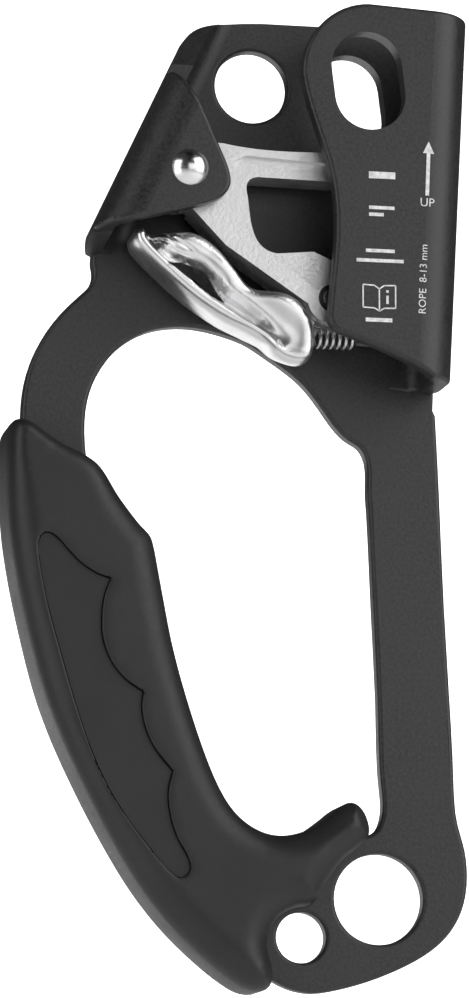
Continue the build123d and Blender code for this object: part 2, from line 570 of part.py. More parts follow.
def trigger():
    body = plate(trigger_outline(), TRIGGER_BACK, TRIGGER_FRONT)
    body -= disc(PIN_PIVOT, BOSS_CLEAR_R, TRIGGER_BACK - THROUGH, TRIGGER_FRONT + THROUGH)
    body += disc(PIN_PIVOT, HUB_R, HUB_BACK, HUB_FRONT)
    body += plate(trigger_neck(), HUB_BACK, HUB_FRONT)
    body -= plate(trigger_slot(), TRIGGER_BACK - THROUGH, TRIGGER_FRONT + THROUGH)
    body -= plate(trigger_pocket(), POCKET_FLOOR, TRIGGER_FRONT + THROUGH)
    body -= plate(trigger_valley(), POCKET_FLOOR, TRIGGER_FRONT + THROUGH)
    body -= disc(PIN_PIVOT, PIN_R + RUN, HUB_BACK - THROUGH, HUB_FRONT + THROUGH)
    return body.solid()


def trigger_rivet():
    head = disc(PIN_PIVOT, PIN_HEAD_R, PIN_BACK, PIN_BACK + PIN_HEAD_T)
    return (disc(PIN_PIVOT, PIN_R, PIN_BACK, PIN_FRONT) + head).solid()


def trigger_spring():
    turns = coil(COIL_TURNS, lambda angle: at(COIL_X0 + COIL_PITCH * angle / (2 * pi),
                                              COIL_Z + COIL_R * sin(angle),
                                              COIL_DEPTH + COIL_R * cos(angle)))
    return rod(turns, COIL_WIRE)


NODES = {
    "frame": frame,
    "grip": grip,
    "grip_inlay_front": lambda: grip_inlay(1),
    "grip_inlay_rear": lambda: grip_inlay(-1),
    "cam_rivet": cam_rivet,
    "cam_rivet_washer": lambda: ring(CAM_PIVOT, WASHER_R, RIVET_R, PLATE_BACK - WASHER_T, PLATE_BACK),
    "cam_bushing": cam_bushing,
    "cam_spacer": lambda: ring(CAM_PIVOT, SPACER_R, BUSH_R, BUSH_FRONT - SPACER_T, BUSH_FRONT),
    "cam_spring": cam_spring,
    "cam": cam,
    "trigger_sleeve": lambda: ring(PIN_PIVOT, SLEEVE_R, PIN_R + RUN, FORK_FRONT, SLEEVE_FRONT),
    "trigger_rivet": trigger_rivet,
    "trigger": trigger,
    "trigger_spring": trigger_spring,
}

os.makedirs("parts", exist_ok=True)
for name, make in NODES.items():
    export_step(make(), f"parts/{name}.step")
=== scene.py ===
import math
import bmesh
import bpy
import numpy as np
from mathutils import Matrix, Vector
from mathutils.geometry import delaunay_2d_cdt


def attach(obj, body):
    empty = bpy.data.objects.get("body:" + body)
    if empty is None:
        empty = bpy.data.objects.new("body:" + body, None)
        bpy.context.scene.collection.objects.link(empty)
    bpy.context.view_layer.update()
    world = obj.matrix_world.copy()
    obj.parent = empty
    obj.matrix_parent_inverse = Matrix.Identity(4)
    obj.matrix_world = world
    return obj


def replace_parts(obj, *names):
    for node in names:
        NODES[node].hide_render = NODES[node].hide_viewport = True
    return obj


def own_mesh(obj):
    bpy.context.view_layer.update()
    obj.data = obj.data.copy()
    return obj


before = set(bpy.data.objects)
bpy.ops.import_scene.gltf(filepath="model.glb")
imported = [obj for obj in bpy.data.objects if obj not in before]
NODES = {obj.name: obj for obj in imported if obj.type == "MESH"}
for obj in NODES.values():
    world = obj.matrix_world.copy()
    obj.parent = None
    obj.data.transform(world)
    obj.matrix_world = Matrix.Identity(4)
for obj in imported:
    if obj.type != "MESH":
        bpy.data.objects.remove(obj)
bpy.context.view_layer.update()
SCENE = bpy.context.scene
MM = 0.001

# Shapes are given as (X, Z) in millimetres and a depth in front of the back plate's mid-plane.

# ---------------------------------------------------------------- materials


def map_range(tree, value, low, high, out_low, out_high):
    """The value between two limits, clamped and mapped to two others."""
    node = tree.nodes.new("ShaderNodeMapRange")
    numbers = {"From Min": low, "From Max": high, "To Min": out_low, "To Max": out_high}
    for key, number in numbers.items():
        node.inputs[key].default_value = number
    tree.links.new(value, node.inputs["Value"])
    return node.outputs["Result"]


def math_node(tree, operation, a, b):
    """A sum or product of two sockets, or of a socket and a number."""
    node = tree.nodes.new("ShaderNodeMath")
    node.operation = operation
    for socket, value in zip(node.inputs, (a, b)):
        if isinstance(value, float):
            socket.default_value = value
        else:
            tree.links.new(value, socket)
    return node.outputs[0]


class Shader:
    """A Principled material built from procedural nodes, in object space."""

    def __init__(self, name, metallic=0.0, specular=0.5):
        self.mat = bpy.data.materials.new(name)
        self.mat.use_nodes = True
        self.tree = self.mat.node_tree
        self.tree.nodes.clear()
        self.out = self.tree.nodes.new("ShaderNodeOutputMaterial")
        self.bsdf = self.tree.nodes.new("ShaderNodeBsdfPrincipled")
        self.link(self.bsdf.outputs[0], self.out.inputs["Surface"])
        self.bsdf.inputs["Metallic"].default_value = metallic
        self.bsdf.inputs["Specular IOR Level"].default_value = specular
        self.coord = self.tree.nodes.new("ShaderNodeTexCoord").outputs["Object"]

    def link(self, a, b):
        self.tree.links.new(a, b)

    def noise(self, scale, detail=3.0, roughness=0.55):
        node = self.tree.nodes.new("ShaderNodeTexNoise")
        node.inputs["Scale"].default_value = scale
        node.inputs["Detail"].default_value = detail
        node.inputs["Roughness"].default_value = roughness
        self.link(self.coord, node.inputs["Vector"])
        return node.outputs["Fac"]

    def spread(self, value, low, high, out_low, out_high):
        return map_range(self.tree, value, low, high, out_low, out_high)

    def mix(self, factor, a, b):
        node = self.tree.nodes.new("ShaderNodeMix")
        node.data_type = "RGBA"
        self.link(factor, node.inputs["Factor"])
        for socket, colour in ((node.inputs[6], a), (node.inputs[7], b)):
            if isinstance(colour, tuple):
                socket.default_value = (*colour, 1.0)
            else:
                self.link(colour, socket)
        return node.outputs[2]

    def add(self, a, b):
        return math_node(self.tree, "ADD", a, b)

    def bump(self, height, strength, distance):
        node = self.tree.nodes.new("ShaderNodeBump")
        node.inputs["Strength"].default_value = strength
        node.inputs["Distance"].default_value = distance
        self.link(height, node.inputs["Height"])
        return node.outputs[0]

    def glow(self, colour, strength):
        """Emission of a plain colour or of a socket."""
        if isinstance(colour, tuple):
            self.bsdf.inputs["Emission Color"].default_value = (*colour, 1.0)
        else:
            self.link(colour, self.bsdf.inputs["Emission Color"])
        self.bsdf.inputs["Emission Strength"].default_value = strength

    def set(self, colour, roughness, normal=None):
        for key, value in (("Base Color", colour), ("Roughness", roughness), ("Normal", normal)):
            if value is not None:
                self.link(value, self.bsdf.inputs[key])
        return self.mat


def anodised():
    """Satin black sheet: fine grain over broad, faint patches."""
    s = Shader("anodised_sheet", specular=0.45)
    dark, light = (0.011, 0.011, 0.012), (0.03, 0.03, 0.031)
    fine, broad = s.noise(1500, 3.0, 0.65), s.noise(55, 4.0, 0.6)
    colour = s.mix(s.spread(fine, 0.35, 0.65, 0, 1), dark, light)
    colour = s.mix(s.spread(broad, 0.4, 0.7, 0, 0.5), colour, light)
    rough = s.add(s.spread(fine, 0.3, 0.7, 0.34, 0.46), s.spread(broad, 0.3, 0.7, -0.04, 0.05))
    return s.set(colour, rough, s.bump(fine, 0.35, 0.00012))


def rubber(name, lightness=1.0):
    """Matt moulded rubber."""
    s = Shader(name, specular=0.4)
    fine, broad = s.noise(1300, 3.0, 0.6), s.noise(45, 4.0, 0.6)
    low, high = 0.013 * lightness, 0.022 * lightness
    colour = s.mix(s.spread(broad, 0.3, 0.7, 0, 1), (low,) * 3, (high,) * 3)
    rough = s.add(s.spread(fine, 0.3, 0.7, 0.4, 0.52), s.spread(broad, 0.3, 0.7, -0.05, 0.06))
    return s.set(colour, rough, s.bump(fine, 0.22, 0.00008))


def steel(name, light, rough_low, rough_high, grain, bump, depth=0.0001):
    """Bare metal of a lightness and a range of roughness, with a grain of noise and of bump."""
    s = Shader(name, metallic=1.0)
    fine, broad = s.noise(grain, 4.0, 0.6), s.noise(120, 4.0, 0.6)
    dull, bright = (light * 0.88,) * 3, (light, light, light * 1.01)
    colour = s.mix(s.spread(broad, 0.3, 0.7, 0, 1), dull, bright)
    rough = s.add(s.spread(fine, 0.3, 0.7, rough_low, rough_high),
                  s.spread(broad, 0.3, 0.7, -0.03, 0.04))
    return s.set(colour, rough, s.bump(fine, bump, depth))


def ink():
    """Slightly worn white print."""
    s = Shader("white_ink", specular=0.4)
    patch = s.noise(900, 3.0)
    colour = s.mix(s.spread(patch, 0.35, 0.6, 0, 1), (0.55, 0.55, 0.55), (0.8, 0.8, 0.8))
    return s.set(colour, s.spread(patch, 0.3, 0.7, 0.45, 0.65), s.bump(patch, 0.1, 0.00005))


M_FRAME = anodised()
M_GRIP, M_INLAY = rubber("grip_rubber"), rubber("inlay_rubber", 0.9)
M_CAM = steel("cast_steel", 0.78, 0.36, 0.5, 1300, 0.5, 0.00014)
M_TRIGGER = steel("polished_casting", 0.84, 0.27, 0.36, 500, 0.06)
M_RIVET = steel("satin_steel", 0.8, 0.16, 0.26, 1800, 0.08)
M_SPRING = steel("spring_wire", 0.6, 0.22, 0.34, 2200, 0.12)
M_DARK = steel("dark_steel", 0.06, 0.3, 0.45, 1800, 0.15)
M_INK = ink()

LOOKS = {
    "frame": M_FRAME, "grip": M_GRIP, "grip_inlay_front": M_INLAY, "grip_inlay_rear": M_INLAY,
    "cam": M_CAM, "cam_rivet": M_RIVET, "cam_rivet_washer": M_RIVET, "cam_bushing": M_RIVET,
    "cam_spacer": M_RIVET, "cam_spring": M_SPRING, "trigger_spring": M_SPRING,
    "trigger_rivet": M_RIVET, "trigger_sleeve": M_DARK, "trigger": M_TRIGGER,
}
for node, material in LOOKS.items():
    NODES[node].data.materials.clear()
    NODES[node].data.materials.append(material)


FLAT_ANGLE, EDGE_ANGLE = math.radians(1.0), math.radians(35)
EDGE_ROUNDS = {"frame": 0.5, "cam": 0.3, "grip_inlay_front": 0.25, "grip_inlay_rear": 0.25}


def soften(obj, width):
    """Round a node's sharp edges, after joining the triangles of its flat faces."""
    flat = obj.modifiers.new("flat", "DECIMATE")
    flat.decimate_type, flat.angle_limit = "DISSOLVE", FLAT_ANGLE
    bevel = obj.modifiers.new("round", "BEVEL")
    bevel.width, bevel.segments = width, 2
    bevel.limit_method, bevel.angle_limit = "ANGLE", EDGE_ANGLE
    bevel.harden_normals = bevel.use_clamp_overlap = True


for node, width in EDGE_ROUNDS.items():
    soften(NODES[node], width * MM)

# ---------------------------------------------------------------- outlines and reliefs


def unit(v):
    return v / np.maximum(np.linalg.norm(v, axis=-1, keepdims=True), 1e-9)


def smooth_loop(points, step, corners=()):
    """Closed smooth curve through the points, evenly sampled; the numbered points stay sharp."""
    p, out = np.array(points, float), []
    count = len(p)
    for i in range(count):
        a, b, before, after = p[i], p[(i + 1) % count], p[i - 1], p[(i + 2) % count]
        span = np.linalg.norm(b - a)
        start = b - a if i in corners else b - before
        end = b - a if (i + 1) % count in corners else after - a
        start, end = unit(start) * span, unit(end) * span
        samples = max(1, round(span / step))
        t = np.arange(samples)[:, None] / samples
        out.append((2 * t**3 - 3 * t**2 + 1) * a + (t**3 - 2 * t**2 + t) * start
                   + (3 * t**2 - 2 * t**3) * b + (t**3 - t**2) * end)
    return np.vstack(out)


def distance(points, line, closed=True):
    """Distance from each point to a polyline."""
    a, b = (line, np.roll(line, -1, 0)) if closed else (line[:-1], line[1:])
    best = np.full(len(points), 1e9)
    for start, way in zip(a, b - a):
        t = np.clip((points - start) @ way / max(way @ way, 1e-12), 0, 1)
        best = np.minimum(best, np.linalg.norm(points - start - t[:, None] * way, axis=1))
    return best


def inside(points, loop):
    """True for the points within a closed loop."""
    hit = np.zeros(len(points), bool)
    for (x0, z0), (x1, z1) in zip(loop, np.roll(loop, -1, 0)):
        if z0 != z1:
            crosses = (points[:, 1] > min(z0, z1)) & (points[:, 1] <= max(z0, z1))
            hit ^= crosses & (points[:, 0] < x0 + (points[:, 1] - z0) * (x1 - x0) / (z1 - z0))
    return hit


def signed(points, loop):
    """Distance to a closed loop, positive inside it."""
    return distance(points, loop) * np.where(inside(points, loop), 1, -1)


def drawn_in(loop, amount):
    """The loop moved inwards, without the points that come too close to it."""
    along = np.roll(loop, -1, 0) - np.roll(loop, 1, 0)
    normal = unit(np.column_stack([-along[:, 1], along[:, 0]]))
    if not inside(loop[:1] + normal[:1] * 0.01, loop)[0]:
        normal = -normal
    moved = loop + normal * amount
    return moved[distance(moved, loop) > abs(amount) * 0.93]


def ease(t):
    """0 to 1 with a level start and end."""
    t = np.clip(t, 0, 1)
    return t * t * (3 - 2 * t)


def quarter_round(distance_in, radius):
    """0 at the edge rising to 1 at the radius, along a quarter ellipse."""
    return np.sqrt(1 - (1 - np.clip(distance_in / radius, 0, 1)) ** 2)


# Where the rows of a swelling side wall lie, as parts of the way from front to back.
SIDE_LEVELS = (0.0, 0.02, 0.05, 0.1, 0.17, 0.26, 0.4, 0.6, 0.8, 0.92, 1.0)
ROW_PITCH = 0.866  # height of a triangle of side 1
GRID_CLEAR = 0.55  # of a cell, between the grid and the lines
PULL = 0.6  # share of the neighbours' mean in one round of smoothing


def side_offset(depth, near, far, swell):
    """How far a side wall stands out at a depth: rounded off towards its two edges."""
    width, front_run, back_run = swell
    rise = quarter_round(near - depth, front_run) * quarter_round(depth - far, back_run)
    return width * rise


def relief(outline, front, back, cell, rings, holes=(), guides=(), swell=(0.0, 1.0, 1.0),
           smooth=0, detail=None):
    """Vertices and faces of a solid whose front and back are depths at (X, Z).

    The grid has cells of one size, and rows of points at the rings' distances from each loop and
    along the guides. The front is smoothed, the detail is added to it, and the outer wall swells.
    """
    loops = [outline, *holes]
    points, edges = [], []
    for loop in loops:
        first = sum(len(p) for p in points)
        points.append(loop)
        edges += [(first + i, first + (i + 1) % len(loop)) for i in range(len(loop))]
    extra = [drawn_in(loop, amount * (1 if loop is outline else -1))
             for loop in loops for amount in rings]
    extra = np.vstack(extra + list(guides))
    extra = extra[inside(extra, outline) & (distance(extra, outline) > rings[0] * 0.5)]
    low, high = outline.min(0), outline.max(0)
    rows = np.arange(low[1], high[1], cell * ROW_PITCH)
    grid = np.array([(x + (cell / 2 if j % 2 else 0), z) for j, z in enumerate(rows)
                     for x in np.arange(low[0], high[0], cell)])
    grid = grid[inside(grid, outline)]
    for line in (*loops, *guides):
        grid = grid[distance(grid, line) > cell * GRID_CLEAR]
    points = np.vstack(points + [extra, grid])
    made = delaunay_2d_cdt([Vector(p) for p in points], edges, [], 0, 1e-5, False)
    flat = np.array([tuple(v) for v in made[0]])
    triangles = np.array([f for f in made[2] if len(f) == 3])
    middles = flat[triangles].mean(1)
    keep = inside(middles, outline)
    for hole in holes:
        keep &= ~inside(middles, hole)
    triangles = triangles[keep]

    near, far = front(flat), back(flat)
    pairs = np.vstack([triangles[:, [0, 1]], triangles[:, [1, 2]], triangles[:, [2, 0]]])
    forward = {tuple(pair) for pair in pairs}
    rim = [(a, b) for a, b in pairs if (b, a) not in forward]
    inner = np.ones(len(flat), bool)
    inner[[a for a, b in rim]] = False
    along_rim = np.array(rim)
    links = np.vstack([pairs[inner[pairs[:, 0]]], along_rim, along_rim[:, ::-1]])
    count = len(flat)
    neighbours = np.maximum(np.bincount(links[:, 0], minlength=count), 1)
    for _ in range(smooth):
        total = np.bincount(links[:, 0], weights=near[links[:, 1]], minlength=count)
        near = np.where(total > 0, (1 - PULL) * near + PULL * total / neighbours, near)
    if detail:
        near = near + detail(flat)

    outward = np.zeros((count, 2))
    for a, b in rim:
        along = unit(flat[b] - flat[a])
        outward[a] += (along[1], -along[0])
        outward[b] += (along[1], -along[0])
    corner = rim[0][0]
    stepped = flat[corner][None] + unit(outward[corner]) * 0.02
    turn = -1 if inside(stepped, outline)[0] else 1
    outward = unit(outward) * turn * (distance(flat, outline) < 0.01)[:, None]

    vertices = [(x, -d, z) for depths in (near, far) for (x, z), d in zip(flat, depths)]
    border = list(dict.fromkeys(a for a, b in rim))
    walls_at = [{a: a for a in border}]
    for part in SIDE_LEVELS[1:-1] if swell[0] else ():
        row = {}
        for a in border:
            depth = near[a] + (far[a] - near[a]) * part
            spot = flat[a] + outward[a] * side_offset(depth, near[a], far[a], swell)
            row[a] = len(vertices)
            vertices.append((spot[0], -depth, spot[1]))
        walls_at.append(row)
    walls_at.append({a: a + count for a in border})
    faces = [tuple(f) for f in triangles] + [tuple(i + count for i in f[::-1]) for f in triangles]
    for upper, lower in zip(walls_at, walls_at[1:]):
        faces += [(upper[a], upper[b], lower[b], lower[a]) for a, b in rim]
    return vertices, faces


def piece(name, solids, material, sharp=32.0):
    """One object from (vertices, faces) pairs in millimetres."""
    vertices, faces = [], []
    for some_vertices, some_faces in solids:
        first = len(vertices)
        vertices += [tuple(c * MM for c in v) for v in some_vertices]
        faces += [tuple(first + i for i in f) for f in some_faces]
    mesh = bpy.data.meshes.new(name)
    mesh.from_pydata(vertices, [], faces)
    mesh.validate()
    obj = bpy.data.objects.new(name, mesh)
    SCENE.collection.objects.link(obj)
    bm = bmesh.new()
    bm.from_mesh(mesh)
    loose = [v for v in bm.verts if not v.link_faces]
    bmesh.ops.delete(bm, geom=loose, context="VERTS")
    bmesh.ops.recalc_face_normals(bm, faces=bm.faces)
    bm.to_mesh(mesh)
    bm.free()
    mesh.shade_smooth()
    mesh.set_sharp_from_angle(angle=math.radians(sharp))
    mesh.materials.append(material)
    return obj


# ---------------------------------------------------------------- grip

GRIP_OUTLINE = smooth_loop([
    (-75.5, 90.6), (-75.8, 82.5), (-74.7, 68.5), (-71.4, 52.0), (-67.0, 36.5), (-60.0, 20.8),
    (-50.9, 4.6), (-43.8, -4.9), (-35.9, -12.6), (-28.8, -17.8), (-25.2, -18.8), (-22.9, -17.8),
    (-22.3, -14.6), (-23.4, -9.5), (-21.4, -4.5), (-17.8, -2.3), (-14.0, -1.3), (-11.6, 2.6),
    (-8.4, 7.0), (-5.0, 9.8), (-2.9, 12.2), (-3.0, 14.8), (-4.4, 17.6), (-6.4, 18.7), (-8.6, 17.8),
    (-11.4, 15.6), (-15.2, 13.1), (-20.1, 11.9), (-24.5, 12.6), (-28.9, 15.4), (-32.3, 19.9),
    (-35.7, 27.5), (-39.6, 39.1), (-42.3, 49.0), (-44.3, 59.0), (-45.9, 67.6), (-46.8, 70.6),
    (-49.2, 73.2), (-53.2, 78.4), (-57.0, 84.2), (-60.6, 86.8), (-64.4, 88.5), (-68.0, 90.8),
    (-71.4, 93.0), (-74.2, 93.0),
], 0.8, corners=(35,))
INLAY_OUTLINE = smooth_loop([
    (-69.6, 65.5), (-68.0, 56.8), (-65.9, 49.0), (-62.4, 37.2), (-58.7, 26.8), (-55.0, 19.2),
    (-50.8, 12.9), (-46.4, 7.3), (-43.2, 3.8), (-41.2, 2.9), (-39.6, 4.4), (-40.2, 7.0),
    (-42.2, 10.6), (-43.6, 15.0), (-44.0, 19.5), (-43.1, 23.6), (-46.9, 28.3), (-48.7, 32.4),
    (-49.3, 36.0),
    (-49.0, 39.0), (-53.0, 41.8), (-55.6, 45.3), (-57.1, 49.6), (-57.3, 53.7), (-56.8, 57.9),
    (-55.6, 61.2), (-58.4, 62.2), (-61.5, 64.2), (-64.1, 66.8), (-66.4, 69.2), (-68.4, 69.9),
    (-69.6, 68.4),
], 0.5, corners=(15, 19, 25))
GRIP_SIDE, GRIP_FACE = 5.0, 10.95  # depths where the edge's round starts and ends
GRIP_ROUND, GRIP_ROUND_TOP = 6.0, 3.0  # how far the round reaches in, and at the grip's top
GRIP_TOP_Z, GRIP_TOP_RUN = 92.0, 22.0
RECESS_GAP, RECESS_LIP, LIP_DROP, RECESS_FLOOR = 0.18, 0.75, 0.35, 9.2
GRIP_CELL, GRIP_RINGS = 1.6, (0.1, 0.35, 0.8, 1.5, 2.4, 3.6, 5.0, 6.2)


def grip_depth(points):
    """Rounded body with a recess for the inlay, and a soft lip round the recess."""
    below_top = ease((GRIP_TOP_Z - points[:, 1]) / GRIP_TOP_RUN)
    reach = GRIP_ROUND_TOP + (GRIP_ROUND - GRIP_ROUND_TOP) * below_top
    rise = quarter_round(distance(points, GRIP_OUTLINE), reach)
    crown = GRIP_SIDE + (GRIP_FACE - GRIP_SIDE) * rise
    beyond = -signed(points, INLAY_OUTLINE) - RECESS_GAP
    lip = crown - LIP_DROP * (1 - quarter_round(beyond, RECESS_LIP))
    return np.where(beyond < 0, RECESS_FLOOR, lip)


def grip():
    gaps = (RECESS_GAP - 0.04, RECESS_GAP + 0.04, 0.4, RECESS_LIP)
    solid = relief(GRIP_OUTLINE, grip_depth, lambda p: -grip_depth(p), GRIP_CELL, GRIP_RINGS,
                   guides=[drawn_in(INLAY_OUTLINE, -gap) for gap in gaps])
    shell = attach(piece("grip_shell", [solid], M_GRIP), "frame")
    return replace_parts(shell, "grip")


grip()

# ---------------------------------------------------------------- trigger

PIN, BOSS_CLEAR = np.array([-11.5, 118.5]), 5.9
HUB_RADIUS, BORE_RADIUS, HUB_BACK, HUB_FRONT = 4.6, 1.95, 5.7, 10.6
TRIGGER_SWELL = (1.3, 4.0, 2.5)  # the wall's swell, and its rounding at the front and back
TRIGGER_INSET = 1.1  # the outline is drawn in by this much of the swell
TRIGGER_CELL, TRIGGER_RINGS = 0.24, (0.14, 0.3)

# Depths of the trigger's face, with the X where each changes and the run of the change.
TRIGGER_BACK, LOBE_BACK, BACK_X, BACK_RUN = 4.0, 3.0, 28, 9
RIM_FACE, RIM_WIDTH, RIM_NARROWING, NARROW_X, NARROW_RUN = 15.5, 2.0, 1.2, 34, 9
RIM_EDGE, RIM_EDGE_DROP = 0.6, 0.35
POCKET, VALLEY, VALLEY_X = 10.5, 12.0, -36
VALLEY_RISE, RISE_X, RISE_RUN = 2.2, 27, 6
BONE_FOOT, BONE_CROWN, BONE_ROUND = 11.6, 3.2, 2.6
LOBE_FOOT, LOBE_CROWN, LOBE_RUN = 14.6, 0.8, 5
LOBE_X, LOBE_BLEND = 37.0, 5
EDGE_SOFT, RIM_SOFT, RIM_BAND = 2.4, 0.3, 3
GROOVE_DEPTH, GROOVE_HALF, GROOVE_END_X, GROOVE_RUN = 0.6, 0.4, -38.6, 3
TRIGGER_OUTLINE = smooth_loop([
    (-44.6, 130.7), (-47.4, 130.9), (-50.0, 131.3), (-51.5, 130.3), (-51.4, 128.4), (-49.9, 126.4),
    (-45.5, 122.2), (-39.9, 117.5), (-33.8, 113.6), (-28.6, 111.2), (-25.6, 109.6), (-23.2, 107.3),
    (-20.2, 105.9), (-17.6, 105.6), (-15.9, 106.8), (-15.2, 109.6), (-15.3, 113.0), (-16.8, 116.2),
    (-19.2, 118.4), (-21.8, 119.4), (-27.9, 120.2), (-31.1, 123.6), (-35.4, 128.5), (-39.8, 130.9),
], 0.3)
SLOT_OUTLINE = smooth_loop([
    (-45.0, 124.4), (-43.2, 125.0), (-40.9, 124.6), (-38.0, 123.4), (-36.2, 121.6), (-35.0, 119.4),
    (-33.2, 117.2), (-34.9, 117.5), (-37.9, 119.0), (-41.0, 121.0), (-43.8, 123.2),
], 0.3, corners=(6,))
WEB_OUTLINE = smooth_loop([
    (-46.5, 129.0), (-46.4, 127.9), (-45.6, 127.0), (-44.2, 126.4), (-42.6, 125.8), (-40.7, 125.1),
    (-38.2, 123.9), (-36.2, 122.2), (-34.0, 120.9), (-30.2, 118.4), (-26.0, 115.2), (-22.5, 112.5),
    (-19.7, 110.1), (-20.6, 108.0), (-22.8, 105.0), (-10.0, 102.0), (-8.0, 122.0), (-27.5, 123.5),
    (-31.0, 128.0), (-40.0, 135.0), (-46.6, 134.0),
], 0.3)
RIM_LINE = np.array([
    (-52.4, 131.8), (-51.5, 128.6), (-50.0, 126.4), (-47.9, 124.3), (-45.6, 122.3), (-42.8, 119.9),
    (-40.0, 117.6), (-37.0, 115.6), (-34.0, 113.7), (-31.1, 112.3), (-28.7, 111.3), (-25.7, 109.7),
    (-23.3, 107.5)])
GROOVES = [np.array(line) for line in (
    [(-46.6, 130.9), (-42.6, 128.6), (-38.4, 125.9)],
    [(-46.4, 129.4), (-43.3, 127.4), (-39.4, 125.8)])]
NECK_OUTLINE = np.array([
    (-13.6, 114.6), (-15.6, 113.3), (-15.8, 110.5), (-24.0, 112.0), (-22.4, 118.5), (-15.4, 116.9)])


def trigger_depth(points):
    """Rim along the lower edge, pocket and valley behind it, and a rolled web to the lobe."""
    x = points[:, 0]
    edge = distance(points, TRIGGER_OUTLINE)
    web = signed(points, WEB_OUTLINE)
    low = distance(points, RIM_LINE, closed=False)
    floor = np.where(x < VALLEY_X, POCKET, VALLEY) + VALLEY_RISE * ease((x + RISE_X) / RISE_RUN)
    rim_width = RIM_WIDTH - RIM_NARROWING * ease((x + NARROW_X) / NARROW_RUN)
    rim = RIM_FACE - RIM_EDGE_DROP * (1 - quarter_round(low, RIM_EDGE))
    rim = rim - (RIM_FACE - floor) * ease((low - rim_width) / 1.0)
    lobe = ease((x + LOBE_X) / LOBE_BLEND)
    bone = (BONE_FOOT + BONE_CROWN * quarter_round(web, BONE_ROUND)) * (1 - lobe)
    bone = bone + (LOBE_FOOT + LOBE_CROWN * ease(web / LOBE_RUN)) * lobe
    bank = LOBE_FOOT * lobe + BONE_FOOT * (1 - lobe)
    slope = floor + (bank - floor) * (1 - ease(-web / 2.0))
    shape = np.where(web > 0, bone, np.maximum(slope, rim))
    upper = (web > 0) | (low > RIM_BAND)
    soft = np.where(upper, EDGE_SOFT * (1 - quarter_round(edge, EDGE_SOFT)),
                    RIM_SOFT * (1 - quarter_round(edge, RIM_SOFT)))
    return np.minimum(shape - soft, RIM_FACE)


def trigger_grooves(points):
    """The two grooves that run up the left prong."""
    cut = sum(np.exp(-(distance(points, groove, closed=False) / GROOVE_HALF) ** 2)
              for groove in GROOVES)
    return -GROOVE_DEPTH * cut * ease((GROOVE_END_X - points[:, 0]) / GROOVE_RUN)


def trigger_back(points):
    return TRIGGER_BACK + LOBE_BACK * ease((points[:, 0] + BACK_X) / BACK_RUN)


def ring_points(centre, radius):
    """Points 0.4 mm apart on a circle."""
    count = int(2 * math.pi * radius / 0.4)
    angle = 2 * math.pi * np.arange(count) / count
    return centre + radius * np.column_stack([np.cos(angle), np.sin(angle)])


def level(depth):
    """A flat face for relief()."""
    return lambda points: np.full(len(points), depth)


def trigger():
    away = TRIGGER_OUTLINE - PIN
    reach = np.maximum(np.linalg.norm(away, axis=1, keepdims=True), BOSS_CLEAR)
    outline = PIN + unit(away) * reach
    guides = [WEB_OUTLINE[inside(WEB_OUTLINE, drawn_in(outline, 1.4))]]
    body = relief(drawn_in(outline, TRIGGER_INSET), trigger_depth, trigger_back, TRIGGER_CELL,
                  TRIGGER_RINGS, holes=[SLOT_OUTLINE], guides=guides, swell=TRIGGER_SWELL,
                  smooth=8, detail=trigger_grooves)
    front, back = level(HUB_FRONT), level(HUB_BACK)
    bore = ring_points(PIN, BORE_RADIUS)
    hub = relief(ring_points(PIN, HUB_RADIUS), front, back, 1.2, (0.3,), holes=[bore])
    neck = relief(NECK_OUTLINE, front, back, 2.0, (0.3,))
    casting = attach(piece("trigger_casting", [body, hub, neck], M_TRIGGER, 70.0), "trigger")
    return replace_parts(casting, "trigger")


trigger()

# ---------------------------------------------------------------- printed marks on the flap

FLAP_FACE, FLAP_BEND = 20.0, 8.0  # depth of the flap's face, and radius of its bend
WALL_FOOT, WALL_LEAN = (12.6, 102.0), math.radians(3.0)
INK_LIFT = 0.08
ARROW_TIP, ARROW_TAIL, ARROW_WIDTH = (6.9, 150.0), (6.5, 138.9), 0.75
BOOK = [
    [(-3.4, 119.4), (-4.4, 120.1), (-6.7, 120.2), (-6.7, 115.6), (-4.4, 115.5), (-3.4, 114.9)],
    [(-3.4, 119.4), (-2.4, 120.1), (-0.1, 120.2), (-0.1, 115.6), (-2.4, 115.5), (-3.4, 114.9)],
    [(-3.4, 119.4), (-3.4, 114.9)]]
LETTER_I = [[(-1.75, 116.4), (-1.75, 118.1)], [(-1.75, 118.7), (-1.75, 119.2)]]
BOOK_LINE, LETTER_LINE = 0.28, 0.5
BARS = [  # plain bars in place of the printed text, as (left, bottom, right, top)
    (-5.4, 141.9, 0.0, 143.3), (-5.4, 135.6, -0.2, 136.3), (-5.4, 134.2, -2.4, 134.9),
    (-6.1, 126.8, -0.2, 127.5), (-8.0, 124.8, 1.6, 125.5), (-6.2, 112.7, -0.8, 113.5)]


def flap_surface(x, z):
    """Depth of the flap's printed face, which starts to bend back towards the side wall."""
    bend = WALL_FOOT[0] + (z - WALL_FOOT[1]) * math.tan(WALL_LEAN) - FLAP_BEND
    past = max(0.0, x - bend)
    return FLAP_FACE - FLAP_BEND + math.sqrt(FLAP_BEND ** 2 - past ** 2) + INK_LIFT


def stroke(points, width):
    """Quads along a line of points."""
    shapes = []
    for (x0, z0), (x1, z1) in zip(points, points[1:]):
        span = math.hypot(x1 - x0, z1 - z0)
        a, b = (z0 - z1) / span * width / 2, (x1 - x0) / span * width / 2
        shapes.append([(x0 - a, z0 - b), (x1 - a, z1 - b), (x1 + a, z1 + b), (x0 + a, z0 + b)])
    return shapes


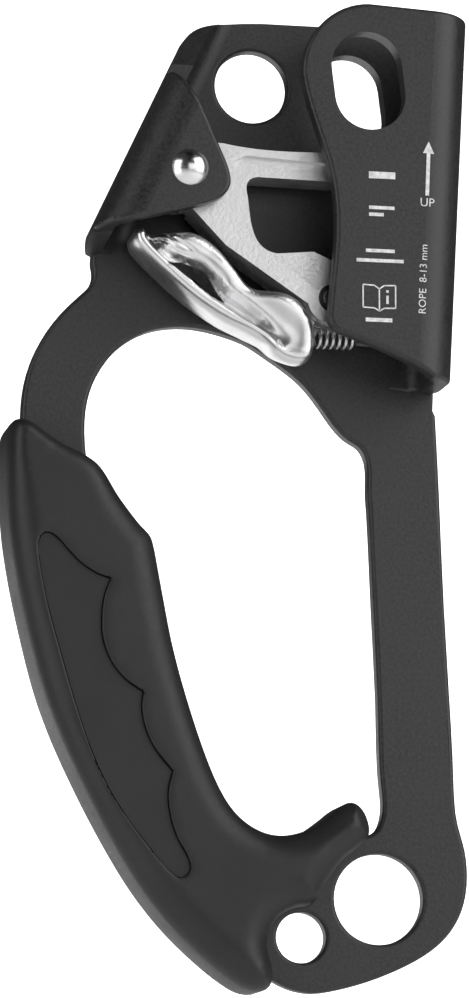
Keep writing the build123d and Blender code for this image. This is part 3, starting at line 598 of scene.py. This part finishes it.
def mark(name, shapes):
    """One thin piece of ink from polygons in the X-Z plane, laid on the flap."""
    vertices, faces = [], []
    for shape in shapes:
        faces.append(tuple(range(len(vertices), len(vertices) + len(shape))))
        vertices += [(x * MM, -flap_surface(x, z) * MM, z * MM) for x, z in shape]
    mesh = bpy.data.meshes.new(name)
    mesh.from_pydata(vertices, [], faces)
    mesh.materials.append(M_INK)
    obj = bpy.data.objects.new(name, mesh)
    SCENE.collection.objects.link(obj)
    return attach(obj, "frame")


def lettering(text, place, size, turn):
    """Polygons of a line of text centred on the place, turned anticlockwise in the X-Z plane."""
    curve = bpy.data.curves.new("lettering", "FONT")
    curve.body, curve.size, curve.align_x, curve.align_y = text, size, "CENTER", "CENTER"
    curve.resolution_u = 3
    holder = bpy.data.objects.new("lettering", curve)
    SCENE.collection.objects.link(holder)
    bpy.context.view_layer.update()
    mesh = bpy.data.meshes.new_from_object(holder)
    bpy.data.objects.remove(holder)
    c, s = math.cos(turn), math.sin(turn)
    spots = [(place[0] + v.co.x * c - v.co.y * s, place[1] + v.co.x * s + v.co.y * c)
             for v in mesh.vertices]
    return [[spots[i] for i in p.vertices] for p in mesh.polygons]


def marks():
    barbs = (ARROW_TIP[0] - 1.2, 147.6), (ARROW_TIP[0] + 1.1, 147.5)
    shaft = stroke([(6.85, 147.6), ARROW_TAIL], ARROW_WIDTH)
    mark("arrow_mark", [[*barbs, ARROW_TIP]] + shaft)
    mark("up_mark", lettering("UP", (6.5, 137.4), 2.5, -math.radians(1.5)))
    mark("rope_range_mark", lettering("ROPE  8-13 mm", (5.6, 121.8), 2.15, math.radians(88.0)))
    mark("book_mark", [q for line in BOOK for q in stroke(line, BOOK_LINE)]
         + [q for line in LETTER_I for q in stroke(line, LETTER_LINE)])
    mark("bar_marks", [[(x0, z0), (x1, z0), (x1, z1), (x0, z1)] for x0, z0, x1, z1 in BARS])


marks()


def squashed_spring():
    """A copy of the trigger's spring, carried with the trigger pin, in place of the spring node."""
    node = NODES["trigger_spring"]
    coil = bpy.data.objects.new("trigger_coil", node.data.copy())
    coil.matrix_world = node.matrix_world.copy()
    SCENE.collection.objects.link(coil)
    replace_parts(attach(coil, "trigger_pin"), "trigger_spring")
    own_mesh(coil)


squashed_spring()

# ---------------------------------------------------------------- studio


def area_light(name, place, width, height, power):
    """A softbox that faces the part."""
    data = bpy.data.lights.new(name, "AREA")
    data.shape, data.size, data.size_y, data.energy = "RECTANGLE", width, height, power
    obj = bpy.data.objects.new(name, data)
    obj.location = place
    obj.rotation_euler = (Vector(CENTRE) - Vector(place)).to_track_quat("-Z", "Y").to_euler()
    SCENE.collection.objects.link(obj)
    return obj


def quad(name, corners, material):
    """A flat four-cornered piece of the stage."""
    mesh = bpy.data.meshes.new(name)
    mesh.from_pydata(corners, [], [(0, 1, 2, 3)])
    obj = bpy.data.objects.new(name, mesh)
    obj.data.materials.append(material)
    SCENE.collection.objects.link(obj)
    return obj


CENTRE = (-0.029, 0.0, 0.08)
BOXES = {  # place, width, height, power
    "right_box": ((0.75, -0.6, 0.45), 0.9, 1.2, 8.0),
    "left_box": ((-0.95, -0.4, 0.25), 0.7, 1.2, 4.4),
    "front_box": ((0.2, -1.16, 0.26), 0.75, 0.6, 1.7),
    "top_box": ((-0.05, -0.35, 0.95), 1.0, 0.5, 2.6),
    "back_box": ((-0.2, 0.6, 0.0), 0.8, 0.3, 0.8),
}
boxes = {name: area_light(name, *setting) for name, setting in BOXES.items()}
boxes["top_box"].visible_glossy = False
boxes["back_box"].visible_camera = False

SKY_STRENGTH, GAP_STRENGTH = 0.7, 0.12
GAP_X, GAP_CORE, GAP_EDGE = 0.05, 0.12, 0.3
GAP_FOOT, GAP_TOP = 0.3, 0.5


def studio_sky():
    """Even grey surroundings with a dark gap above, between the two side boxes."""
    world = bpy.data.worlds.new("studio")
    SCENE.world = world
    world.use_nodes = True
    tree = world.node_tree
    split = tree.nodes.new("ShaderNodeSeparateXYZ")
    tree.links.new(tree.nodes.new("ShaderNodeTexCoord").outputs["Generated"], split.inputs[0])
    sideways = math_node(tree, "ADD", split.outputs[0], -GAP_X)
    sideways = math_node(tree, "ABSOLUTE", sideways, 0.0)
    between = map_range(tree, sideways, GAP_CORE, GAP_EDGE, 1.0, 0.0)
    above = map_range(tree, split.outputs[2], GAP_FOOT, GAP_TOP, 0.0, 1.0)
    gap = math_node(tree, "MULTIPLY", between, above)
    strength = map_range(tree, gap, 0.0, 1.0, SKY_STRENGTH, GAP_STRENGTH)
    tree.links.new(strength, tree.nodes["Background"].inputs[1])


studio_sky()

FLOOR_Z, FLOOR_REACH = -0.3, 3
BACKDROP_Y, BACKDROP_REACH, BACKDROP_TOP = 0.7, 0.9, 1.0


def backdrop_material():
    """Glowing white with a faint cloud in it."""
    s = Shader("backdrop_glow")
    cloud = s.noise(0.5, 1.0)
    s.set(s.mix(cloud, (0.9, 0.9, 0.9), (0.92, 0.92, 0.92)), s.spread(cloud, 0, 1, 0.8, 0.9))
    s.glow(s.mix(cloud, (0.99, 0.99, 0.99), (1.0, 1.0, 1.0)), 1.0)
    return s.mat


def floor_material():
    """Pale speckled floor, lit a little from within."""
    s = Shader("floor")
    speckle = s.noise(60, 3.0)
    s.set(s.mix(speckle, (0.8, 0.8, 0.8), (0.86, 0.86, 0.86)), s.spread(speckle, 0, 1, 0.6, 0.8))
    s.glow((1, 1, 1), 0.35)
    return s.mat


# In views from behind, between about 128 and 232 degrees, the backdrop hides the part.
backdrop = quad("backdrop", [
    (x, BACKDROP_Y, z) for x, z in (
        (-BACKDROP_REACH, FLOOR_Z), (BACKDROP_REACH, FLOOR_Z),
        (BACKDROP_REACH, BACKDROP_TOP), (-BACKDROP_REACH, BACKDROP_TOP))], backdrop_material())
floor = quad("floor", [
    (x * FLOOR_REACH, y * FLOOR_REACH, FLOOR_Z)
    for x, y in ((-1, -1), (1, -1), (1, 1), (-1, 1))], floor_material())
backdrop.visible_diffuse = backdrop.visible_glossy = False

# ---------------------------------------------------------------- camera

AZIMUTH, ELEVATION, DISTANCE = math.radians(-11.0), math.radians(-10.0), 0.9
SENSOR_MM, LENS_MM = 36.0, 162.3
TARGET = Vector((-0.02876, 0.0, 0.07971))
camera = bpy.data.objects.new("camera", bpy.data.cameras.new("camera"))
back = Vector((math.sin(AZIMUTH) * math.cos(ELEVATION),
               -math.cos(AZIMUTH) * math.cos(ELEVATION),
               math.sin(ELEVATION)))
camera.location = TARGET + back * DISTANCE
camera.rotation_euler = (-back).to_track_quat("-Z", "Y").to_euler()
camera.data.sensor_width, camera.data.lens = SENSOR_MM, LENS_MM
camera.data.clip_start, camera.data.clip_end = 0.01, 20
SCENE.collection.objects.link(camera)
SCENE.camera = camera
SCENE.view_settings.view_transform = "Standard"
SCENE.view_settings.look = "None"
